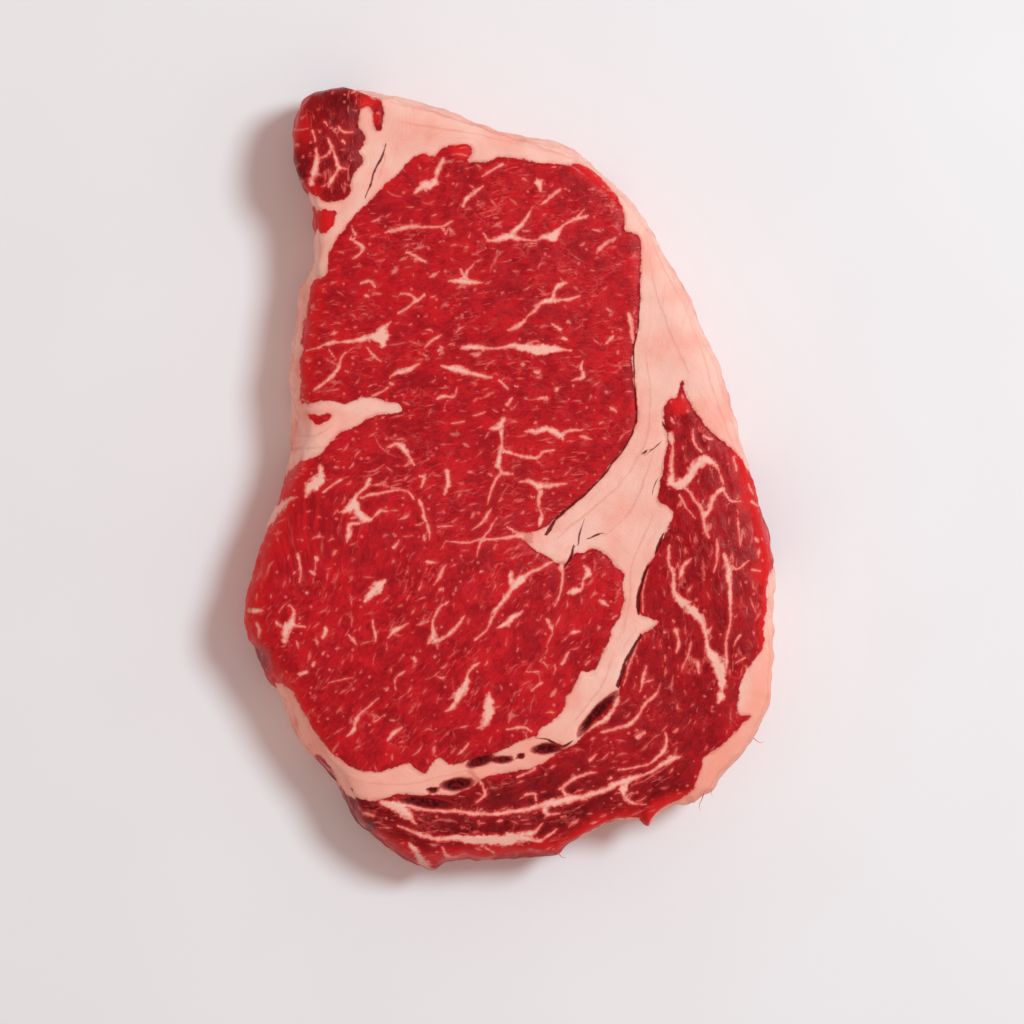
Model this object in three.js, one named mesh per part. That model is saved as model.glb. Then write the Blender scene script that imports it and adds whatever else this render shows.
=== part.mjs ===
// A raw boneless rib steak lying flat on its cut face, in millimetres, +Z up.
// One solid: its side wall is the real outline of the slice, bulging between two cut faces.
// The lower face is truly flat; the upper one swells a little over each muscle and sinks
// along the fat seams between them.  Origin: middle of the outline's box, on the lower face.
import * as THREE from 'three';
import { ParametricGeometry } from 'three/addons/geometries/ParametricGeometry.js';

// ---- driving dimensions, mm ------------------------------------------------------------
const THICKNESS = 24.6; // cut thickness over the fat seams
const TAIL_THINNING = 1.7; // the slice was cut this much thinner at the cap's tail
const SEGMENTS = 156; // facets round the outline
const LOWER_TUCK = 3.4; // the lower face ends this far inside the widest line
const UPPER_TUCK = 1.3; // the upper face's rim does too, on the upright side
const UPPER_LEAN = 3.4; // and this much more where the wall leans out
const LEAN_TOWARDS = new THREE.Vector2(-0.94, -0.34); // the side where the wall leans out
const BELLY_UPRIGHT = 0.58; // height of the widest line, as a share of the thickness
const BELLY_LEANING = 0.3;
const BELLY_CURVE = 2.1; // how roundly the wall bulges
const RIM_WIDTH = 5.0; // the upper rim rounds over across this width
const RIM_DROP = 1.5;
const WALL_WAVES = [ // the side wall's own unevenness, where muscle and fat give differently
  { turns: 6, depth: 0.45, phase: 0.4 },
  { turns: 11, depth: 0.35, phase: 2.1 },
  { turns: 17, depth: 0.2, phase: 4.4 },
];

// The widest outline, drawn about the crease between the eye's two lobes.
const OUTLINE = [
  [-52.3, 75.5], [-52.4, 86.5], [-48.2, 93], [-39.5, 95], [-29, 93.2], [-13, 88.3], [3, 83.2],
  [14, 80.4], [20, 76.2], [30, 66], [37.5, 55], [43.5, 41.5], [49.3, 29.5], [54.2, 14.5],
  [58.5, 0], [61.6, -12], [63, -22], [62.4, -33], [62.6, -43], [60.6, -55], [54.5, -63.5],
  [47, -74], [38.5, -78.6], [30, -80.6], [17.5, -83.8], [11.2, -88.4], [-2, -90.2],
  [-14, -91.3], [-26, -91], [-34, -84], [-44, -71], [-51.6, -61.5], [-56.6, -50],
  [-62, -38.5], [-63.2, -31], [-60.6, -20.5], [-57.2, -9], [-54.6, 0], [-53.4, 15],
  [-54, 30], [-51.1, 42], [-48.3, 51], [-47.6, 62], [-49.4, 70],
];
const HUB = new THREE.Vector2(-2, 8); // a point from which the whole outline can be seen

// Each muscle swells the upper face: centre, half length, half width, turn (degrees), rise.
const MUSCLES = [
  { at: [-8, 44], half: [44, 33], turn: 8, rise: 1.5 }, // upper lobe of the eye
  { at: [-21, -30], half: [45, 38], turn: -24, rise: 1.7 }, // lower lobe of the eye
  { at: [47, -22], half: [46, 13], turn: -86, rise: 1.1 }, // cap, down the right side
  { at: [22, -70], half: [46, 14], turn: 22, rise: 1.0 }, // where the cap turns the corner
  { at: [-12, -83], half: [30, 8], turn: -4, rise: 0.7 }, // tail of the cap
  { at: [-43, 81], half: [15, 10], turn: 84, rise: 1.0 }, // small muscle at the end
];

// ---- shape ------------------------------------------------------------------------------
const outlineCurve = new THREE.CatmullRomCurve3(
  OUTLINE.map(([x, y]) => new THREE.Vector3(x, y, 0)),
  true,
);

function muscleRise(x, y) {
  let rise = 0;
  for (const muscle of MUSCLES) {
    const turn = THREE.MathUtils.degToRad(muscle.turn);
    const dx = x - muscle.at[0];
    const dy = y - muscle.at[1];
    const along = (dx * Math.cos(turn) + dy * Math.sin(turn)) / muscle.half[0];
    const across = (dy * Math.cos(turn) - dx * Math.sin(turn)) / muscle.half[1];
    const inside = Math.max(0, 1 - along * along - across * across);
    rise += muscle.rise * Math.sqrt(inside) * inside;
  }
  return rise;
}

function thicknessAt(y) {
  return THICKNESS - TAIL_THINNING * THREE.MathUtils.smoothstep(-y, 20, 90);
}

function wallWave(rimPoint, share) {
  const turn = Math.atan2(rimPoint.y - HUB.y, rimPoint.x - HUB.x);
  const fullness = Math.sin(Math.PI * share);
  return WALL_WAVES.reduce(
    (sum, { turns, depth, phase }) => sum + depth * fullness * Math.sin(turns * turn + phase + 2 * share),
    0,
  );
}

// How far the wall leans out at an outline point, 0 to 1.
function leaning(rimPoint) {
  const outward = new THREE.Vector2(rimPoint.x, rimPoint.y).sub(HUB).normalize();
  return THREE.MathUtils.smoothstep(outward.dot(LEAN_TOWARDS), 0.1, 0.85);
}

// The point this far inside the outline, on the line to the hub.
function inset(rimPoint, distance) {
  const spoke = new THREE.Vector2(rimPoint.x, rimPoint.y).sub(HUB);
  return spoke.setLength(spoke.length() - distance).add(HUB);
}

// The stations from the middle of the lower face, out and up the wall, to the middle of the
// upper face.  Each station gives its place from an outline point.
const lowerFace = [0, 0.45, 0.8].map((share) => (rimPoint) => {
  const edge = inset(rimPoint, LOWER_TUCK);
  return HUB.clone().lerp(edge, share).toArray().concat(0);
});

const wall = [0, 0.05, 0.14, 0.27, 0.42, 0.58, 0.73, 0.87, 1].map((share) => (rimPoint) => {
  const lean = leaning(rimPoint);
  const belly = THREE.MathUtils.lerp(BELLY_UPRIGHT, BELLY_LEANING, lean);
  const upperTuck = UPPER_TUCK + UPPER_LEAN * lean;
  const tuck = share < belly
    ? LOWER_TUCK * ((belly - share) / belly) ** BELLY_CURVE
    : upperTuck * ((share - belly) / (1 - belly)) ** BELLY_CURVE;
  const place = inset(rimPoint, tuck + wallWave(rimPoint, share)).toArray();
  return place.concat(share * (thicknessAt(rimPoint.y) - RIM_DROP));
});

function upperPoint(rimPoint, rimShare, faceShare) {
  const rimTuck = UPPER_TUCK + UPPER_LEAN * leaning(rimPoint);
  const edge = inset(rimPoint, rimTuck + RIM_WIDTH * rimShare);
  const place = edge.lerp(HUB, faceShare);
  const drop = RIM_DROP * (1 - rimShare) ** 2;
  const height = thicknessAt(place.y) - drop + muscleRise(place.x, place.y) * rimShare;
  return [place.x, place.y, height];
}

const roundedRim = [0.2, 0.5, 1].map((share) => (rimPoint) => upperPoint(rimPoint, share, 0));
const upperFace = [0.15, 0.3, 0.45, 0.6, 0.75, 0.88, 1].map(
  (share) => (rimPoint) => upperPoint(rimPoint, 1, share),
);
// Run from the top down, the stations turn the faces outward.
const section = [...lowerFace, ...wall, ...roundedRim, ...upperFace].reverse();

function surfacePoint(round, alongSection, target) {
  const rimPoint = outlineCurve.getPointAt(round % 1);
  const station = section[Math.round(alongSection * (section.length - 1))];
  target.set(...station(rimPoint));
}

function steakGeometry() {
  const geometry = new ParametricGeometry(surfacePoint, SEGMENTS, section.length - 1);
  geometry.computeBoundingBox();
  const { min, max } = geometry.boundingBox;
  geometry.translate(-(min.x + max.x) / 2, -(min.y + max.y) / 2, -min.z);
  geometry.computeVertexNormals();
  return geometry;
}

// ---- model ------------------------------------------------------------------------------
const rawMeat = new THREE.MeshStandardMaterial({ color: 0xb4292c, roughness: 0.42, metalness: 0 });

const part = new THREE.Group();
const steak = new THREE.Mesh(steakGeometry(), rawMeat);
steak.name = 'steak';
part.add(steak);

export default part;
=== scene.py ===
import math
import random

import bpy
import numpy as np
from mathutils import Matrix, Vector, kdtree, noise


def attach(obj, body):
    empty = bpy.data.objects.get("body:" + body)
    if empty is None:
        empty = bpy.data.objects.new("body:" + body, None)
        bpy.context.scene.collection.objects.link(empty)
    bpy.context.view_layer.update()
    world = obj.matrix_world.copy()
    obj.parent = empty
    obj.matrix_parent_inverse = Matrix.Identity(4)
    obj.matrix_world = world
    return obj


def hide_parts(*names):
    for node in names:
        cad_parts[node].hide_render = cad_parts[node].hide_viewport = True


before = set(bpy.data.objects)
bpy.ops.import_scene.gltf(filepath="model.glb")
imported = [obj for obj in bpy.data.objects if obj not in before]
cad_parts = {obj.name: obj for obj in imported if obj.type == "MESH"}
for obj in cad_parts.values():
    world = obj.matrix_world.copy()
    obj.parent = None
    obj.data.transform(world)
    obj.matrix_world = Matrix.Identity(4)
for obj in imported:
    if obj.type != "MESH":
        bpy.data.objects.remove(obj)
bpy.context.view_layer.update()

# A raw rib steak lying on a pale table.  The cut face is drawn in millimetres, seen from above:
# outlines of the muscles, strokes of fat between their bundles, dark gaps where the cap has
# come loose.  Each vertex of the meat then learns how deep in lean it lies, which stroke or gap
# is nearest and which way the grain runs, and the finish is painted from that.

MM = 0.001

# ---- sizes, mm ----
DRAWN_CENTRE = np.array([0.09, 1.56])  # the model's origin, in the drawing's coordinates
HUB = np.array([-2, 8])  # the place in the drawing that the side wall faces away from
MEAN_RADIUS = 75  # from the hub to the wall, to make a length of an angle
VOXEL = 1.27  # first, even mesh of the whole steak
SMOOTHING_ROUNDS = 5  # a count, not a size
RIM_BAND = 9.0  # how far the rim distance is followed in from the side wall
WALL_COVER = 0.7  # how deep a muscle must come to the wall to show through its film
STROKE_REACH = 2.2  # how far round a stroke its distance is worked out
FAR = 9.0  # stands for the distance of anything beyond that reach

# ---- camera and light, m ----
CAMERA_HEIGHT = 1.385
VIEW_MIDDLE = -7.08  # mm, along the drawing's y
LENS = 200  # mm
WINDOW_PLACE = (0.72, 0.36, 1.2)
WINDOW_SIZE = 0.4
WINDOW_POWER = 12.6  # watts
WINDOW_COLOUR = (0.84, 1.025, 1.09)
ROOM_COLOUR = (1.0, 0.765, 0.69, 1)
ROOM_STRENGTH = 0.53
TABLE_SIZE = 8.0

# ---- relief, mm ----
MUSCLE_SWELL = 0.18
BORDER_SINK = 0.08
STROKE_RISE = 0.1
CAP_BUNDLES = 0.22
GAP_DEPTH = 0.5
WALL_BULGES = (0.75, 0.4)  # broad and narrow
WALL_STRINGS = 0.24
WALL_FOLDS = 0.3
WALL_BORDER_SINK = 0.4


# ---- the cut face, as drawn: x towards the cap, y towards the end muscle ----
def points(*numbers):
    """A line or an outline: x,y of each point."""
    return np.reshape(numbers, (-1, 2))


def strokes(*rows):
    """Strokes that swell and thin out: x,y,half width of each point."""
    return [np.reshape(row, (-1, 3)) for row in rows]


EYE = points(
    -49,46.5, -47.3,48.4, -44.6,48.9, -43.9,52, -43.6,54.8, -41.6,58, -39,62, -36,65.3, -31,70.4,
    -27.4,73.6, -24.6,76.7, -21.6,78.4, -18.6,77.7, -16.4,79.9, -13,80.7, -10,80.5, -9.2,78.7,
    -10.2,76.7, -6,76.8, -2.3,77.9, 1,77.8, 6,76.9, 12.5,75.7, 15.5,76.3, 18.7,75.2, 21.8,73.3,
    23.6,70.8, 24.9,68.9, 26.3,66.3, 26.9,63, 26.6,60.1, 29.4,59.4, 30.5,57.6, 30.9,53, 30.8,46,
    30.2,40, 29.2,33, 28.7,28, 29.2,24, 29.8,19, 29.6,14, 28,10, 24.2,5.2, 20,0, 15,-4.8, 10.2,-9.3,
    6.4,-11.6, 3,-12.4, 4,-14.8, 8,-17.6, 12.3,-19.6, 14.6,-17.2, 17.4,-17, 19,-15.6, 22.2,-16.8,
    24.4,-19.2, 27,-21.4, 26.6,-24, 26.8,-28, 26,-31.6, 24.2,-35, 22,-41, 19.7,-45.2, 16.6,-45.4,
    15.4,-48.2, 12.9,-51.2, 12.4,-54, 9.8,-57.2, 6.8,-58.9, 5.4,-61, 1.5,-62, -2.5,-64, -6.5,-66,
    -11.8,-67, -15,-67.4, -16.6,-65.7, -18.2,-66.4, -20.2,-69.4, -22.4,-69, -24.6,-67.2, -28,-68.1,
    -32,-69.3, -37,-68.8, -41,-66.4, -45,-62.4, -48.3,-58, -50.4,-54, -53,-50, -58,-48.6, -63,-44,
    -67,-36, -67,-27, -64,-18, -60,-8, -58,-1, -54.6,1.6, -52.8,3.8, -51.3,5.4, -49,5.7, -46,6.9,
    -43.6,9.2, -41.6,11.4, -39.3,12.2, -37.4,13.2, -34.5,15, -31,16.4, -28.4,16.2, -26,16.9,
    -27.2,19, -30,19.3, -33,20.3, -36.2,20.2, -39.5,18.8, -42,19.3, -45,19.5, -48.4,18.9,
    -50.1,17.6, -51.5,18.7, -51.2,22, -50.7,26, -51.2,29, -50.4,32.5, -50,37, -49.6,42,
)
CAP = points(
    40.5,24, 39.3,20.3, 37.4,19.7, 36.2,17.4, 36.4,13.5, 37.2,10.8, 36.9,7, 36.4,3, 35.7,-1,
    35,-4.6, 37.6,-6.2, 38.2,-9, 36.2,-12.8, 34.6,-16.4, 33,-19.6, 31.5,-23, 30.6,-27.2, 30.8,-31.6,
    35.4,-33.3, 31.6,-36, 29.8,-38.6, 28,-42.6, 26.2,-47, 25.6,-50.8, 21.6,-55, 18.4,-58.2,
    15.2,-62.6, 9.6,-65.8, 5.4,-68, 0,-69.3, -6.6,-71.2, -12,-74.2, -20,-75.2, -27.5,-75, -33,-76.6,
    -38,-75.4, -42.4,-71.6, -46,-66.6, -51,-67.5, -47,-77, -39,-86, -33,-92, -26,-95, -14,-95,
    -2,-94, 10.5,-92, 14,-88, 18.6,-84.9, 26,-82.2, 30,-80.8, 30.6,-83, 31.8,-88, 34,-82.5,
    37,-78.4, 41,-76.1, 43.3,-73.4, 44.8,-69.4, 45.4,-66.6, 48,-64.6, 51.5,-61.4, 54.4,-58.2,
    57.6,-56.2, 54.6,-55, 54.5,-50.5, 55.6,-46, 58,-42.4, 60.4,-39.6, 60.6,-35, 61.2,-30, 61.4,-25,
    64,-21, 65.5,-14, 64,-8, 61.4,-2, 58.4,2.6, 54.6,6, 50.6,9.6, 47,13, 43.6,17, 41.7,20.4,
)
END_MUSCLE = points(
    -31.4,91.5, -33,93.6, -36,95.2, -39.5,97, -44,97, -49,95.5, -53,92.5, -56,88, -57,82, -57,75,
    -53,70.6, -49.4,69.4, -46.8,68.6, -45.3,67.5, -42.5,67.2, -40,67.6, -38.2,69.5, -38,72.5,
    -36.3,74.8, -35.1,77.5, -36.2,79.2, -34.8,81.5, -35.3,83.8, -36.8,85.2, -36,87.4, -35.8,89.3,
    -34.4,90, -33.4,88.4, -33,85, -32.2,83.8, -31.2,84.8, -30.7,88,
)
RED_PATCH = points(
    -50,59.2, -50,65, -46,65.4, -42.3,65, -42.1,63, -43.5,60.5, -46,59.4,
)
ISLET = points(
    -49.3,16, -46,16, -43.2,16.3, -44,14.5, -46,13.6, -47.8,14.6,
)
MUSCLES = (EYE, CAP, END_MUSCLE)
# from the cap's tip round the corner to its tail: its grain follows this line
CAP_SPINE = points(
    40.5,24, 45,5, 49,-25, 48,-50, 38,-66, 18,-75, -8,-81, -40,-78,
)

# fat between the muscle's bundles
MARBLING = strokes(
    # upper lobe of the eye
    [-30,59.5,.25, -27.5,60.2,.6, -24,61,.5, -20,61.2,.3, -16.5,61.3,.3, -14.6,62.2,.4],
    [-17,61.2,.35, -15.8,59.2,.2],
    [-6,57.6,.2, -3,58.2,.8, 0,58.6,.95, 2.5,58,.5, 5.5,57.9,.35, 8,58.8,.6, 10.2,58.7,1.15,
     11.2,60.3,.7, 13.5,62,.4, 15.8,62.7,.5, 18.3,63.6,.4],
    [0,59.5,.7, 2.2,61.2,.55, 3.8,63,.5, 5.2,65.3,.3], [-6.6,59.4,.2, -5.4,57.9,.4, -4,58.2,.4],
    [15.6,63,.3, 17.3,65.2,.25],
    [-23.6,69.2,.35, -21.5,70.7,1.1, -19.2,71.2,1, -18.2,73,.6, -17.4,75,.65, -16.1,77.4,.5],
    [-11.8,66,.45, -10.4,68,.6, -8.5,69.4,.45, -6.8,70.8,.3],
    [-6.6,73.4,.3, -4.5,74.8,.35, -2.3,76.1,.45], [5.4,71.8,.3, 6.9,71.5,.95, 7.1,69.4,.25],
    [7,66.3,.25, 9,67.8,.4, 11.6,69.9,.45], [-15,47.8,.3, -12,48.2,.8, -10,47.8,.7, -7.3,47.9,.2],
    [-12.4,50.8,.3, -11.4,49,.55, -10.8,50.6,.4, -9.6,52,.25],
    [-25.1,55.1,.4, -23,54,.45, -20.5,52.5,.4],
    [-26.6,45.3,.25, -24.5,44.8,.35, -22.5,43.5,.5, -21.1,44.7,.35],
    [-22.8,43.4,.45, -24.6,42,.4, -27,40.6,.4],
    [-38.4,58.3,.45, -36.4,57.2,.45, -35.6,56.2,.45, -36.2,54.9,.35, -38,53.6,.25],
    [-38,60.4,.3, -37,59.3,.4], [-35.8,47.5,.35, -33.8,48.2,.55, -32.4,46.8,.35],
    [-34.6,44.6,.55, -33.9,44.4,.5],
    [5.2,42.3,.2, 7,43,.6, 9.5,43.5,.85, 12,43.7,.45, 14,44,.45, 16.4,44.8,.25],
    [9.5,43.8,.8, 10,46,.35, 11,47.3,.65, 12.9,47.7,.3], [3.6,39.8,.2, 5.2,41.2,.5, 6.6,42.6,.4],
    [-.9,36.7,.45, 1,37.3,.5, 2.6,38.3,.4, 3.6,39.6,.2], [9.5,38.1,.3, 11.4,36.8,.5],
    [12.1,34.6,.6, 13,34.4,.6], [22.6,33.2,.45, 23.9,34.9,.4],
    [-12,31.9,.35, -9.5,32.4,.75, -7,32.2,.65, -4.5,32.1,.25, -2,32.4,.45, 0,32.9,.6, 3,32,1.05,
     6,31.7,1.35, 8.5,31.8,1.15, 11,31.9,.8, 13,31.5,.35, 14.6,31.4,.35],
    [-17,27.7,.3, -14.5,27.2,.85, -12,26.7,.85, -9.5,26,.55, -7,25.3,.5, -5,25,.35],
    [-21,32,.25, -19,33.8,.5, -16.9,35,.3], [-17.8,31.2,.3, -16.9,30.6,.4],
    [-37.6,34,.3, -35.4,34.4,.9, -33,34.8,1.35, -31.4,34.8,1.8, -30.9,33.4,1],
    [-31.4,35.6,1, -30.6,37.2,.6, -29.4,38.4,.25], [-34.6,32.4,.3, -33,30.4,.45, -31.2,29,.25],
    [-49.2,31,.25, -46,32,.4, -43,33.2,.5, -40.5,33.4,.4, -37,34,.5],
    [-47.1,22.2,.4, -44,24.5,.5, -41.5,27,.5, -40.5,29.5,.45, -39.7,31,.2],
    [-43.9,31.3,.3, -42.8,29.7,.35], [-29.1,25.2,.3, -27,26.3,.65, -25,27,.65, -22.5,28,.3],
    [-29.2,23.7,.45, -28.2,23.4,.3], [-33.2,20.6,.35, -31,21.4,.3, -29.6,22.5,.25],
    [-17.9,20,.5, -16,20.5,.45, -13.5,20.3,.3, -13.2,22.4,.2], [-9,15.8,.3, -6.2,16.6,.3],
    [-14,14.2,.3, -11.5,14.7,.25], [5.4,26.6,.6, 6.2,26.4,.6],
    [14.8,24.3,.3, 17.5,25,.55, 16.9,27.4,.5, 17.4,28.8,.25], [6.4,20,.3, 8.8,20.2,.5],
    [-3,24.4,.35, -1,22.4,.4], [.8,23.1,.45, 1.5,22.9,.4], [-.8,18.4,.5, .2,20,.35],
    [23.4,17.7,.5, 24.6,17.1,.3], [27.9,40,.7, 28.4,37,.5, 28.9,33.4,.4],
    # between the two lobes
    [3.4,12.3,.4, 6,12.3,.75, 8.3,12.9,.8, 10.5,12,.9, 12,11,.9, 12.4,9.8,.3],
    [12,12.1,.5, 14.5,12.8,.4, 16.7,12.8,.4],
    [-5.2,12.7,.3, -3.5,12.7,.75, -2.2,14.2,.8, -1.5,15.1,.4],
    [-2.8,12,.65, -2.6,9.5,.3, -2.8,7.2,.7, -3.3,4,.65, -2.5,2,.5, -4,0,.35, -5,-2.5,.35,
     -5.8,-5.1,.2], [-2.5,7.4,.6, .5,6.5,.5, 2.5,5.9,.45, 6.3,5.7,.45, 7.3,7.2,.4, 10.1,7.7,.3],
    [-2.5,1.6,.5, .2,1.5,.3], [2,-.2,.25, 4.5,.2,.55, 6.3,-1,.85, 9,-1,.75, 12.8,-.4,.25],
    [6.5,-2.5,.6, 6.3,-5.5,.45, 7,-8,.55, 6.6,-10.2,.55],
    [-5,-6.4,.2, -6.3,-8.8,.55, -7.2,-9.6,.5, -9.6,-11.3,.25],
    [-15.5,2.7,.6, -15.2,0,.75, -16.1,-3.1,.4],
    [-29.6,8.3,.3, -27.5,9.2,.6, -26,8.2,.7, -24.5,6,.55, -23.4,4.2,.35],
    [-48.9,-3.4,.5, -48,-1,1.25, -46.2,0,1.5, -45.5,2.5,.95, -45.8,4.4,.4],
    [-44.6,-2.2,.45, -42.5,-.5,.35, -40.4,.5,.35],
    [-40.8,-7.3,.3, -38.5,-6.3,.85, -37,-5.5,1.1, -36.4,-7.2,.85, -35,-8.8,.85, -33.6,-9,.5],
    [-37.3,-4.6,.75, -36,-2.8,.45, -34.5,-1,.75, -33.8,.7,.5],
    [-35.5,-4.1,.3, -32,-2.8,.45, -28.8,-2.1,.35, -25,-2.1,.2, -23.4,-3.7,.35],
    [-36.4,-9.8,.4, -39,-10.3,.5, -38.8,-12.5,.75, -39.4,-14.2,.3],
    [-33,-8.3,.3, -31,-6.8,.5, -29.6,-7,.3], [-22.1,1.4,.4, -21,1,.45, -21.6,-1.2,.3],
    [-21.9,-4.4,.4, -21,-6.5,.35, -20.7,-8.5,.55, -20,-10.5,.45, -19.6,-13.2,.2],
    [-28.2,-15.4,.5, -26.9,-13.9,.3],
    [-16,-14,.12, -12,-14.3,.35, -8,-13.7,.28, -3,-13.4,.32, 1,-12.6,.6, 4,-13,.9],
    [-1,-10.6,.35, 1.2,-12,.5, 4,-13.8,.9], [12,-19.5,.7, 12.2,-22,.45, 12,-25.5,.4, 10.4,-29.4,.2],
    [-3.6,-8.4,.2, -7.5,-14.6,.3, -8.4,-17.5,.2], [-17.8,-10.6,.25, -14.6,-10.4,.3],
    # lower lobe of the eye
    [-35,-28.2,.6, -33.5,-26.3,1.15, -31.5,-24.5,1.05, -30.4,-23.5,.5],
    [-18.6,-24.4,.25, -17,-22,.5, -16,-19.9,.3], [-20.2,-19,.5, -18.4,-19.3,.35],
    [-51.1,-17,.3, -51,-18.6,.4, -50.5,-21,.3, -50.9,-23.6,.3], [-46.9,-17.9,.5, -46.6,-18.5,.4],
    [-48.3,-21.3,.4, -47.4,-21.9,.3],
    [-54.1,-37.6,.85, -53.5,-35,1.05, -52.3,-33.5,.85, -52,-31,.35, -53,-29.4,.2],
    [-56,-33.4,.5, -54.6,-34.6,.45], [-51.6,-34.3,.45, -49.4,-34.5,.3],
    [-44.9,-37,.8, -44.5,-35.2,.6], [-39.1,-36.9,.45, -38,-38,.45, -37.2,-38.9,.3],
    [-33.3,-32.8,.25, -32.8,-36,.4, -32.5,-38.1,.25],
    [-29.6,-37.1,.3, -27.5,-35,.65, -24.8,-33.7,.2],
    [-19.9,-38.1,.4, -18.8,-36,.75, -19,-33,.35, -17.5,-29.8,.4, -15.4,-28.4,.3],
    [-19,-38,.5, -16,-37,.5, -13.5,-34.5,.55, -11.6,-31.9,.35],
    [-8.6,-37.6,.4, -6,-35,.3, -4.5,-32,.3, -2.4,-28.4,.3],
    [-4.6,-31.1,.5, -2,-28,.65, 0,-25.5,.75, 1.5,-23.6,1.05, 3.5,-22,.65, 7,-20.5,.45, 9.8,-19,.35],
    [-.5,-21.8,.6, -.3,-24.2,.8], [-3.3,-34.9,.6, -1,-33.7,.95, 1,-32,.65, 2.4,-31.2,.3],
    [8.4,-32.9,.5, 9.4,-34.9,.6], [12.4,-43.1,.5, 13.4,-40.9,.5], [14.3,-35.9,.6, 16.1,-35.7,.3],
    [13.9,-26.4,.5, 15.5,-26,.85, 17,-25.4,.5, 17,-23.5,.35, 18.5,-22,.85, 17.4,-20.4,.5],
    [21.4,-28.4,.5, 23.1,-29.4,.4],
    [-16.2,-54.9,.4, -14,-53.3,.75, -12.3,-50.5,1.05, -11,-48,.95, -10.5,-45.8,.45, -9,-44,.4,
     -7.7,-43.1,.3], [-8.1,-58.4,.4, -6.5,-57.5,.95, -5.5,-55,1.2, -5.3,-52.5,1.05, -5.2,-50.7,.3],
    [-39.1,-60.5,.4, -37.5,-59,.65, -37,-57,.65, -36.3,-55.5,.35, -34,-53.5,.3, -31.7,-51.7,.2],
    [-32.6,-57.1,.3, -30.4,-55.7,.3], [-29.4,-61.6,.4, -28,-60,.55, -26.4,-58.9,.4],
    [-27.7,-49.6,.2, -27.6,-46.5,.3, -25.9,-45,.3], [-23.7,-42,.55, -23.2,-42.6,.45],
    [-50.6,-46.1,.5, -48.9,-45.2,.4], [-47.5,-43.7,.5, -47,-43.2,.4],
    [-12.6,-65.1,.2, -11,-63.5,.45, -10.2,-62.4,.2], [5,-49.6,.3, 7.4,-47.8,.3],
    [3.4,-45.4,.2, 6.6,-45.2,.35], [-1.2,-59.1,.3, 1,-58.7,.45, 3,-58.8,.45, 4.7,-59.9,.3],
    [-60.4,-13.8,.9, -58.6,-10.2,1.5, -56,-7,1.3, -53.4,-4.8,.7, -51,-3.8,.25],
    [-63.4,-31.4,.5, -61.4,-31,.7, -59.4,-30.6,.3],
    [-61.4,-33.8,.45, -60.6,-35.6,.5, -60.8,-37.4,.3],
    # cap, down the side
    [38.4,3,.35, 38.4,0,1.1, 40.5,-.5,1.3, 42.5,1,1.15, 44,3.5,1.25, 46.4,5.4,1.1, 48.1,4.7,.6,
     49.6,2.7,.35, 50.3,-.2,.35], [38.2,11.5,.9, 38.6,8,.5, 38.5,5,.5, 38.5,1.5,.8],
    [43.3,12.6,.3, 43.6,10,.35, 45.4,7.4,.45], [46.3,11,.45, 48.1,10.4,.35],
    [41.8,-1.8,.6, 44,-4.5,.45, 45.3,-6.5,.55, 45.7,-9,.65, 46.5,-12,.45, 47,-13.4,.3],
    [50.4,-1.4,.45, 48.3,-3,.65, 47.3,-6,.75, 46.2,-8.2,.5],
    [40.2,-3.4,.35, 42,-6.5,.35, 43.6,-8.7,.2], [40.4,-23.1,.4, 41,-20.5,.55, 42.6,-18.4,.4],
    [37.8,-15.3,.5, 37.5,-19,.45, 38.8,-22.5,.55, 38.8,-26,.65, 41,-28.5,1.1, 43.5,-31,1.25,
     45.5,-33,.85, 46.5,-37,.55, 47,-40,.75, 48.8,-43,1.45, 50,-46.5,1.3, 50.6,-49.2,.6],
    [50.2,-17.4,.45, 51.5,-19.8,.85, 51.5,-22.5,.7, 52,-26,.5, 52,-30,.45, 52.2,-34,.35,
     51.5,-38,.35, 51.3,-42,.45, 51,-46.3,.4], [52,-20,.55, 54,-20.8,.35, 56.6,-18.9,.2],
    [54,-8.4,.25, 54.3,-12,.35, 54.5,-15.2,.2], [49,-13.8,.25, 48.8,-18,.35, 47.9,-21.2,.25],
    [39.4,-35.3,.45, 40,-38,.55, 39.4,-40.7,.3], [43,-38.3,.3, 42,-42,.3, 40.9,-45.2,.2],
    [44.4,-42.8,.5, 44.8,-45.7,.3], [53.4,-38.7,.3, 54.6,-36.3,.35],
    [53.7,-43.1,.3, 55.7,-41.8,.35], [50.4,-50.6,1.2, 49.5,-52.6,.4],
    [57.3,-21.2,.3, 59.2,-21.5,.35], [57.2,-5,.4, 59,-6,.4],
    [50.3,-1.6,.3, 52.1,-4.2,.35, 54.6,-4.6,.25], [53.1,5.6,.3, 53.5,3,.35],
    [56.2,-.4,.25, 57.4,-3,.3], [32.8,-21.2,.25, 31.6,-25.5,.3, 31.7,-31.2,.25],
    [30.2,-37.7,.25, 28.3,-43.4,.3, 27,-48.2,.2],
    # cap, round the corner and along the tail
    [16.6,-60.4,.3, 19.5,-59,.45, 22.5,-57,.7, 24.8,-53.5,.6, 25.5,-51.3,.7],
    [21.8,-60.1,.3, 26,-59,.45, 28.5,-58,.65, 30.3,-55.8,.35, 32,-53,.45, 34.6,-50.4,.5],
    [30.9,-49.7,.3, 31.5,-47,.45, 31.9,-44.3,.25], [31.3,-48,.3, 33.7,-47.4,.25],
    [29.9,-61.2,.7, 31.6,-60.4,.45],
    [25.4,-68.9,.35, 29,-68.3,.35, 33,-67.3,.35, 36,-65,.55, 37,-62.5,.45, 36.6,-60.3,.3],
    [11.3,-73.4,.4, 14,-71.5,.45, 17.5,-69.8,.45, 20.2,-69.1,.3],
    [-31.5,-76.8,.6, -28,-77.8,1.4, -25,-79.7,1.2, -22.8,-81.7,.3],
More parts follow.
